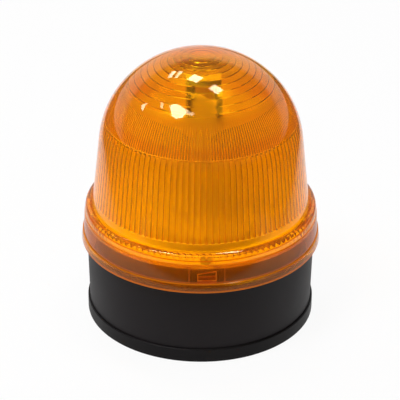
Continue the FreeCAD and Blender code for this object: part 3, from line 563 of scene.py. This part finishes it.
flare, straight, shoulder, _ = dome_side(WALL, (5, 4, 9, 2))
fine_part = shoulder[:-FINE_RINGS - 1:-1]
coarse_part = shoulder[-FINE_RINGS - 1::-1]
for k, (radius, height) in enumerate(fine_part):
    depth = FINE_DEPTH if k else FINE_START
    lines = FINE_ROOT_SHADE if k < FINE_RINGS - 2 else SHADE_BAND
    thicker = SHOULDER_STEP * min(k / STEP_RINGS, 1.0)
    inner_rings.append(Ring(radius - thicker, height, SHOULDER_RIBS, depth, lines))
radius, height = fine_part[-1]
inner_rings += [Ring(radius, height - BAND_LOW, WALL_RIBS, 0.0, SHADE_BAND),
                Ring(radius + RIBS_START[0], height - RIBS_START[1], WALL_RIBS, RIB_DEPTH, WALL_ROOT_SHADE)]
for radius, height in coarse_part + straight[::-1] + flare[:1:-1]:
    inner_rings.append(Ring(radius, height, WALL_RIBS, RIB_DEPTH, WALL_ROOT_SHADE))
radius, height = flare[1]
inner_rings += [Ring(radius, height, WALL_RIBS, RIB_DEPTH, RIB_END_SHADE),
                Ring(radius + RIBS_STOP[0], height - RIBS_STOP[1])]
print("ribs in wall and shoulder:", WALL_RIBS, SHOULDER_RIBS)

# %% [markdown]
# Below the flutes, behind the shelf, two rows of short pads repeat their pitch. Under them a flat seat rests
# on the seal, and the inside of the skirt closes the section. Each pad row is four rings: a height above the
# shelf and a depth, where depth 0 is the plain wall between the rows.

# %% The pads, the seat and the inside of the skirt
PAD_ROWS = ((4.2, 0.0), (3.9, 0.3), (3.0, 0.3), (2.7, 0.0), (1.7, 0.0), (1.4, 0.3), (0.5, 0.3), (0.2, 0.0))
# Painted shade: dark dots between neighbouring pads.
PAD_ROOT_SHADE = (1.0, 0.3, 0.0, 0.0, 0.0, 0.3)
SEAT = SKIRT_LOW + 13.1
SEAT_R = 57.8
INNER_SKIRT = 62.2
for above, depth in PAD_ROWS:
    inner_rings.append(Ring(SEAT_R, SHELF + above, WALL_RIBS, depth, PAD_ROOT_SHADE if depth else CLEAR))
skirt_inside = [(SEAT_R, SEAT), (INNER_SKIRT, SEAT), (INNER_SKIRT, SKIRT_LOW + 3.7),
                (INNER_SKIRT_LOW, SKIRT_LOW + 2.9)]
inner_rings += [Ring(*spot) for spot in skirt_inside]
SEAT_RINGS = len(PAD_ROWS) + len(skirt_inside)
print("rings inside:", len(inner_rings))

# %% [markdown]
# A mesh made ring by ring needs no modifier: the points of one ring follow those of the ring before, so
# every face is found by counting. The outside goes up to a single point at the top, the inside comes down
# from another one under it, and a last row of faces joins the two at the lower edge, which closes the solid.

# %% Points and faces from the rings
def polar(radius, angle, height):
    return (radius * math.cos(angle) * MM, radius * math.sin(angle) * MM, height * MM)


def ring_points(ring):
    points = []
    for k in range(STEPS):
        share = (k * ring.ribs / STEPS) % 1.0
        bulge = ring.depth * (1.0 - (2.0 * share - 1.0) ** 2) if ring.ribs else 0.0
        points.append(polar(ring.radius - bulge, 2.0 * math.pi * k / STEPS, ring.height))
    return points


def stitch(first, second):
    """The faces between two rings, given by the number of each one's first point."""
    return [(first + k, first + (k + 1) % STEPS, second + (k + 1) % STEPS, second + k) for k in range(STEPS)]


def lens_faces(starts, turn, top, roof):
    """Starts holds each ring's first point, and turn is the number of rings outside."""
    faces = []
    for first, second in zip(starts[:turn - 1], starts[1:turn]):
        faces += stitch(first, second)
    for k in range(STEPS):
        faces.append((starts[turn - 1] + k, starts[turn - 1] + (k + 1) % STEPS, top))
        faces.append((roof, starts[turn] + (k + 1) % STEPS, starts[turn] + k))
    for first, second in zip(starts[turn:-1], starts[turn + 1:]):
        faces += stitch(first, second)
    return faces + stitch(starts[-1], starts[0])


print("points in a ring:", len(ring_points(outer_rings[0])))

# %% [markdown]
# The same count tells which points lie inside the cap, on the flutes or at the seat, so the haze and the
# depth of colour that paints shade, which the amber finish reads, are written along with the mesh. The seat
# and the cap are moulded smoother than the flutes, so they get only part of the haze.

# %% The lens as one closed mesh
CAP_HAZE = 0.25
SEAT_HAZE = 0.2


def number_points(mesh, name, numbers):
    mesh.attributes.new(name, "FLOAT", "POINT").data.foreach_set("value", numbers)


def lens_mesh():
    rings = outer_rings + inner_rings
    points = []
    for ring in rings:
        points += ring_points(ring)
    top = len(points)
    roof = top + 1
    points += [(0.0, 0.0, LENS_TOP * MM), (0.0, 0.0, (cap_centre[1] + inner_sphere - RING_DEPTH) * MM)]
    turn = len(outer_rings)
    mesh = bpy.data.meshes.new("lens_shell")
    mesh.from_pydata(points, [], lens_faces(range(0, top, STEPS), turn, top, roof))
    haze = [0.0] * turn + [CAP_HAZE] * CAP_RINGS + [1.0] * (len(inner_rings) - CAP_RINGS - SEAT_RINGS)
    haze += [SEAT_HAZE] * SEAT_RINGS
    number_points(mesh, "inside", [share for share in haze for k in range(STEPS)] + [0.0, CAP_HAZE])
    # Painted shade: how deep the amber is at each point, ring by ring.
    root_shades = [ring.lines[k % len(ring.lines)] for ring in rings for k in range(STEPS)]
    number_points(mesh, "root", root_shades + [0.0, 0.0])
    return mesh


# %% [markdown]
# Three lugs inside the skirt lock the lens to the base: each is a short bar with a ramped top that slides
# under a lug of the neck. In front of each one the mould left its marks on the skirt: two upright witness
# lines, and between them the outline of a slide, with a slanted top. The marks are strips that stand a
# tenth of a millimetre proud of the skirt's drafted face, and glow with painted light as its rims do. A lug
# or a strip is a row of loops of four points, joined as the rings of the lens are. They share the lens's
# material and turn with it.

# %% Loops of four points, joined into a bar or a frame
def add_loops(points, faces, loops, closed):
    """Join loops into one solid: capped at both ends, or closed into a frame."""
    first = len(points)
    for loop in loops:
        points += loop
    count = len(loops)
    for k in range(count if closed else count - 1):
        here = first + 4 * k
        ahead = first + 4 * ((k + 1) % count)
        faces += [(here + c, ahead + c, ahead + (c + 1) % 4, here + (c + 1) % 4) for c in range(4)]
    if not closed:
        faces.append(tuple(first + c for c in range(4)))
        faces.append(tuple(first + 4 * (count - 1) + c for c in (3, 2, 1, 0)))


# %% Marks on the skirt's drafted face
MARK_IN = -0.1
MARK_OUT = 0.12


def skirt_face(height):
    """The radius of the skirt's face, a straight line from the ledge up to the shelf."""
    low, high = ledge[-1], shelf[0]
    return low[0] + (high[0] - low[0]) * (height - low[1]) / (high[1] - low[1])


def across(low, high):
    """One loop of a mark: inside and outside the skirt's face at two (angle, height) spots."""
    return [polar(skirt_face(spot[1]) + proud, *spot)
            for proud, spot in ((MARK_IN, low), (MARK_OUT, low), (MARK_OUT, high), (MARK_IN, high))]


print("radius of the skirt's face, low and high:", round(skirt_face(LEDGE), 2), round(skirt_face(SHELF), 2))

# %% Lugs, witness lines and the slide's outline
LUG_R = (60.05, INNER_SKIRT + 0.05)
LUG_LOW = SKIRT_LOW + 4.4
LUG_HIGH = (3.6, 4.16)
LUG_HALF = math.radians(4.6)
WITNESS = math.radians(8.4)
WITNESS_ENDS = (LEDGE + 0.4, SHELF - 1.4)
# Painted light: how strongly the witness lines and the slide's outline glow.
WITNESS_GLOW = 0.3
SLIDE = math.radians(4.5)
SLIDE_LOW = SKIRT_LOW + 6.8
SLIDE_TOPS = (SKIRT_LOW + 11.0, SKIRT_LOW + 12.5)
SLIDE_GLOW = 0.8
LINE = 0.45


def lug_loops(middle):
    loops = []
    for k in range(5):
        angle = middle + LUG_HALF * (k / 2.0 - 1.0)
        top = LUG_LOW + LUG_HIGH[0] + (LUG_HIGH[1] - LUG_HIGH[0]) * k / 4.0
        loops.append([polar(LUG_R[0], angle, LUG_LOW), polar(LUG_R[1], angle, LUG_LOW),
                      polar(LUG_R[1], angle, top), polar(LUG_R[0], angle, top)])
    return loops


def lug_mesh():
    points = []
    faces = []
    glow = []
    wide = LINE / skirt_face(SHELF) / 2.0
    for lug in range(3):
        middle = math.radians(-90.0 + 120.0 * lug)
        add_loops(points, faces, lug_loops(middle), False)
        glow += [0.0] * (len(points) - len(glow))
        for side in (middle - WITNESS, middle + WITNESS):
            loops = [across((side + wide, height), (side - wide, height)) for height in WITNESS_ENDS]
            add_loops(points, faces, loops, False)
        glow += [WITNESS_GLOW] * (len(points) - len(glow))
        left, right = middle - SLIDE, middle + SLIDE
        loops = []
        for angle, inwards, height, up in ((left, 2, SLIDE_LOW, 1), (right, -2, SLIDE_LOW, 1),
                                           (right, -2, SLIDE_TOPS[1], -1), (left, 2, SLIDE_TOPS[0], -1)):
            loops.append(across((angle, height), (angle + inwards * wide, height + up * LINE)))
        add_loops(points, faces, loops, True)
        glow += [SLIDE_GLOW] * (len(points) - len(glow))
    mesh = bpy.data.meshes.new("lens_lugs")
    mesh.from_pydata(points, [], faces)
    number_points(mesh, "edge", glow)
    return mesh


# %% [markdown]
# A mesh becomes a piece of the lamp once it has an object, a material and a body to ride on. Smooth shading
# hides the faces of the dome, and edges sharper than a given angle stay crisp. The lens turns on the base,
# so both new pieces ride on its body, and the finer lens takes the place of the frame's own.

# %% Put the lens and its lugs in place
def place(name, mesh, finish, slot_name, body, smooth_below=None):
    piece = bpy.data.objects.new(name, mesh)
    bpy.context.scene.collection.objects.link(piece)
    mesh.materials.append(finish)
    mesh.validate()
    if smooth_below is not None:
        mesh.shade_smooth()
        mesh.set_sharp_from_angle(angle=math.radians(smooth_below))
    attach(piece, body)
    return piece


lens_shell = place("lens_shell", lens_mesh(), finishes["lens_amber"], "lens_amber", "lens", 24.0)
lens_lugs = place("lens_lugs", lug_mesh(), finishes["lens_amber"], "lens_amber", "lens")
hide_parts("lens_dome")
print("lens faces:", len(lens_shell.data.polygons), "lug faces:", len(lens_lugs.data.polygons))

# %% [markdown]
# The CAD gives the bulb a plain bar for its filament. The real one is a coil of wire held between two stiff
# legs, and it is the one thing in a clear bulb that everyone looks at. A helix swept as a tube of six-sided
# rings is enough at this size.

# %% The coiled filament
TURNS = 9
PER_TURN = 12
SIDES = 6
COIL_SPAN = 0.86
COIL_DROP = 0.45
COIL_R = 0.36
WIRE_R = 0.07


def coil_line():
    """Up one leg, along the helix, down the other leg."""
    low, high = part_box("bulb_filament")
    half = (high[0] - low[0]) / 2 * COIL_SPAN
    middle = high[2] - COIL_DROP * MM
    steps = TURNS * PER_TURN
    line = [Vector((-half, 0.0, low[2]))]
    for k in range(steps + 1):
        angle = 2.0 * math.pi * TURNS * k / steps
        line.append(Vector((half * (2.0 * k / steps - 1.0), COIL_R * MM * math.cos(angle),
                            middle + COIL_R * MM * math.sin(angle))))
    line.append(Vector((half, 0.0, low[2])))
    return line


def coil_mesh():
    line = coil_line()
    points = []
    for k, spot in enumerate(line):
        along = (line[min(k + 1, len(line) - 1)] - line[max(k - 1, 0)]).normalized()
        other = Vector((0.0, 1.0, 0.0)) if abs(along.y) < 0.9 else Vector((1.0, 0.0, 0.0))
        side = along.cross(other).normalized()
        up = along.cross(side)
        for s in range(SIDES):
            angle = 2.0 * math.pi * s / SIDES
            points.append(tuple(spot + WIRE_R * MM * (math.cos(angle) * side + math.sin(angle) * up)))
    faces = []
    for k in range(0, len(points) - SIDES, SIDES):
        for s in range(SIDES):
            a = k + s
            b = k + (s + 1) % SIDES
            faces.append((a, b, b + SIDES, a + SIDES))
    faces.append(tuple(range(SIDES))[::-1])
    faces.append(tuple(range(len(points) - SIDES, len(points))))
    mesh = bpy.data.meshes.new("filament_coil")
    mesh.from_pydata(points, [], faces)
    return mesh


filament = place("filament_coil", coil_mesh(), finishes["tungsten"], "tungsten", "base", 40.0)
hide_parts("bulb_filament")
print("filament faces:", len(filament.data.polygons))

# %% [markdown]
# The lamp stands on a sheet of white paper that runs out of view on every side. For the camera, for
# reflections and through glass the paper is lifted to white by a share of plain emission, while the rest
# of it stays a diffuse surface and keeps the soft shadow at the lamp's foot. Beyond the camera's view, in
# front and at both sides, the paper ends. The table there is white to the camera as well, so that every
# view has the same plain ground, but it sends little light to the lamp. That keeps the dome deep in colour.

# %% The floor
PAPER_END = -0.14
PAPER_HALF = 0.2
END_FADE = 0.05
SIDE_FADE = 0.06
PAPER_WHITE = 0.93
TABLE_WHITE = 0.99


def floor_finish():
    finish = Finish("pale_floor")
    slow = finish.ramp(finish.noise(3.0, 3.0), 0.3, 0.7)
    forward = finish.node("SeparateXYZ", inputs={0: finish.where()}, output="Y")
    aside = finish.maths("ABSOLUTE", finish.node("SeparateXYZ", inputs={0: finish.where()}, output="X"))
    within = finish.ramp(forward, PAPER_END - END_FADE, PAPER_END)
    sheet = within * finish.ramp(aside, PAPER_HALF + SIDE_FADE, PAPER_HALF)
    white_paper = finish.blend(slow, rgb(0.86, 0.86, 0.86), rgb(0.84, 0.84, 0.84))
    paper = finish.node("BsdfPrincipled", inputs={
        "Base Color": finish.blend(sheet, rgb(0.06, 0.06, 0.06), white_paper),
        "Roughness": 0.85,
    })
    white = finish.node("Emission", inputs={"Color": rgb(1.0, 1.0, 1.0), "Strength": 1.0})
    seen = finish.node("LightPath", output="Is Camera Ray")
    mirrored = finish.node("LightPath", output="Is Glossy Ray")
    through = finish.node("LightPath", output="Is Transmission Ray")
    reflected = PAPER_WHITE * sheet * finish.maths("MAXIMUM", mirrored, through)
    looked_at = (TABLE_WHITE + (PAPER_WHITE - TABLE_WHITE) * sheet) * seen
    share = finish.maths("MAXIMUM", looked_at, reflected)
    return finish.end(finish.node("MixShader", inputs={0: share, 1: paper, 2: white}))


# %% [markdown]
# The floor and, further down, the light panels are flat faces that stand round the lamp. They aren't part
# of it.

# %% Flat faces for the stage
def stage_face(name, corners, finish):
    mesh = bpy.data.meshes.new(name)
    mesh.from_pydata(corners, [], [tuple(range(len(corners)))])
    mesh.materials.append(finish)
    face = bpy.data.objects.new(name, mesh)
    bpy.context.scene.collection.objects.link(face)
    return face


FLOOR_HALF = 8.0
FLOOR_GAP = 0.0002
floor_corners = [(x * FLOOR_HALF, y * FLOOR_HALF, 0.0) for x, y in ((-1, -1), (1, -1), (1, 1), (-1, 1))]
floor = stage_face("floor", floor_corners, floor_finish())
floor.location.z = -FLOOR_GAP
print("floor:", 2.0 * FLOOR_HALF, "m wide,", FLOOR_GAP, "m under the lamp")

# %% [markdown]
# For reflections, and for the light on the lamp, the room is nearly white behind the lamp up to a height of
# some 33 degrees, fades out by 41, and is dim above and in front, as a studio with one lit backdrop is. A
# clear dome shows exactly that: pale haze towards its far rim, dark glass towards the viewer. The world's
# colour is therefore a ramp over the direction. The camera itself sees plain white everywhere.

# %% The room
def studio_world():
    world = bpy.data.worlds.new("studio")
    bpy.context.scene.world = world
    room = Finish("studio", world)
    direction = room.node("TexCoord", output="Generated")
    back = room.node("SeparateXYZ", inputs={0: direction}, output="Y")
    height = room.node("SeparateXYZ", inputs={0: direction}, output="Z")
    lit = room.ramp(back - height, 0.1, 0.3)
    tone = room.node("ValToRGB", {"stops": [(0.0, rgb(0.16, 0.16, 0.165)), (0.5, rgb(0.4, 0.4, 0.41)),
                                            (1.0, rgb(0.86, 0.86, 0.86))]}, {0: lit})
    seen = room.node("LightPath", output="Is Camera Ray")
    shown = room.blend(seen, tone, rgb(1.0, 1.0, 1.0))
    return room.end(room.node("Background", inputs={"Color": shown, "Strength": 1.0}), "World")


studio_world()

# %% [markdown]
# The light comes from bright panels overhead, as in a workshop. Each one is given by the directions of its
# corners, as azimuth and elevation in degrees, so that its place and its mirror image in the dome are both
# easy to reason about: azimuth 0 is the front, 180 the back. Azimuths turn towards +X.

# %% Light panels
AIM = Vector((0.0, 0.0, 0.12))
PANEL_DISTANCE = 1.6


def towards(azimuth, elevation):
    a, e = math.radians(azimuth), math.radians(elevation)
    return Vector((math.sin(a) * math.cos(e), -math.cos(a) * math.cos(e), math.sin(e)))


def panel_finish(name, strength):
    finish = Finish(name)
    falloff = finish.ramp(finish.noise(2.0, 1.0), 0.2, 0.8)
    tone = finish.blend(falloff, rgb(1.0, 0.98, 0.95), rgb(0.97, 0.97, 1.0))
    return finish.end(finish.node("Emission", inputs={"Color": tone, "Strength": strength}))


PANELS = (
    ("panel_top", 22.0, [(-150.5, 67.5), (-170.1, 63.5), (171.4, 70.4), (-164.7, 77.0)]),
    ("panel_right", 22.0, [(128.3, 81.8), (132.5, 73.3), (104.9, 69.1), (83.5, 75.5)]),
    ("panel_left", 26.0, [(-77.0, 58.6), (-70.6, 64.3), (-51.1, 65.3), (-36.4, 65.3), (-39.6, 56.2),
                          (-49.1, 52.1), (-59.1, 52.1)]),
    ("panel_left_wing", 12.0, [(-79.2, 57.3), (-72.5, 60.2), (-62.2, 56.1), (-68.2, 54.9)]),
    ("panel_front_wing", 12.0, [(-44.6, 64.2), (-18.0, 63.9), (-22.7, 60.6), (-38.5, 60.6)]),
    ("strip_one", 14.0, [(-140.6, 49.7), (-153.1, 46.1), (-155.1, 49.5), (-141.4, 53.4)]),
    ("strip_two", 14.0, [(-142.5, 56.2), (-156.9, 51.6), (-159.6, 54.0), (-144.2, 58.9)]),
    ("slit_left", 12.0, [(-93.7, 51.0), (-90.7, 53.5), (-80.6, 50.9), (-85.1, 49.4)]),
    ("corner_left", 14.0, [(-108.3, 32.2), (-105.8, 38.5), (-99.5, 33.5), (-102.6, 31.6)]),
)
for name, strength, corners in PANELS:
    spots = [tuple(AIM + PANEL_DISTANCE * towards(*corner)) for corner in corners]
    stage_face(name, spots, panel_finish(name, strength))
print("light panels:", len(PANELS))

# %% [markdown]
# The camera stands a little left of the front and looks down on the dome. A long lens from far away
# flattens the perspective, which keeps the base nearly as wide as the skirt.

# %% Camera
STAND_OFF = 0.9273
HEIGHT = 0.5666
AZIMUTH = math.radians(-3.15)
PITCH = math.radians(28.42)
ROLL = math.radians(-0.36)
FOCAL_IN_WIDTHS = 1926.2 / 400.0
SHIFT_IN_WIDTHS = -0.0018
SENSOR = 36.0
NEAREST = 0.01

camera_data = bpy.data.cameras.new("camera")
camera_data.sensor_width = SENSOR
camera_data.lens = SENSOR * FOCAL_IN_WIDTHS
camera_data.shift_x = SHIFT_IN_WIDTHS
camera_data.clip_start = NEAREST
camera = bpy.data.objects.new("camera", camera_data)
spot = Vector((STAND_OFF * math.sin(AZIMUTH), -STAND_OFF * math.cos(AZIMUTH), HEIGHT))
turn = Matrix.Rotation(AZIMUTH, 4, "Z") @ Matrix.Rotation(math.pi / 2 - PITCH, 4, "X")
turn = turn @ Matrix.Rotation(-ROLL, 4, "Z")
camera.matrix_world = Matrix.Translation(spot) @ turn
bpy.context.scene.collection.objects.link(camera)
bpy.context.scene.camera = camera
bpy.context.scene.view_settings.view_transform = "Standard"
print("camera at", [round(v, 3) for v in spot])
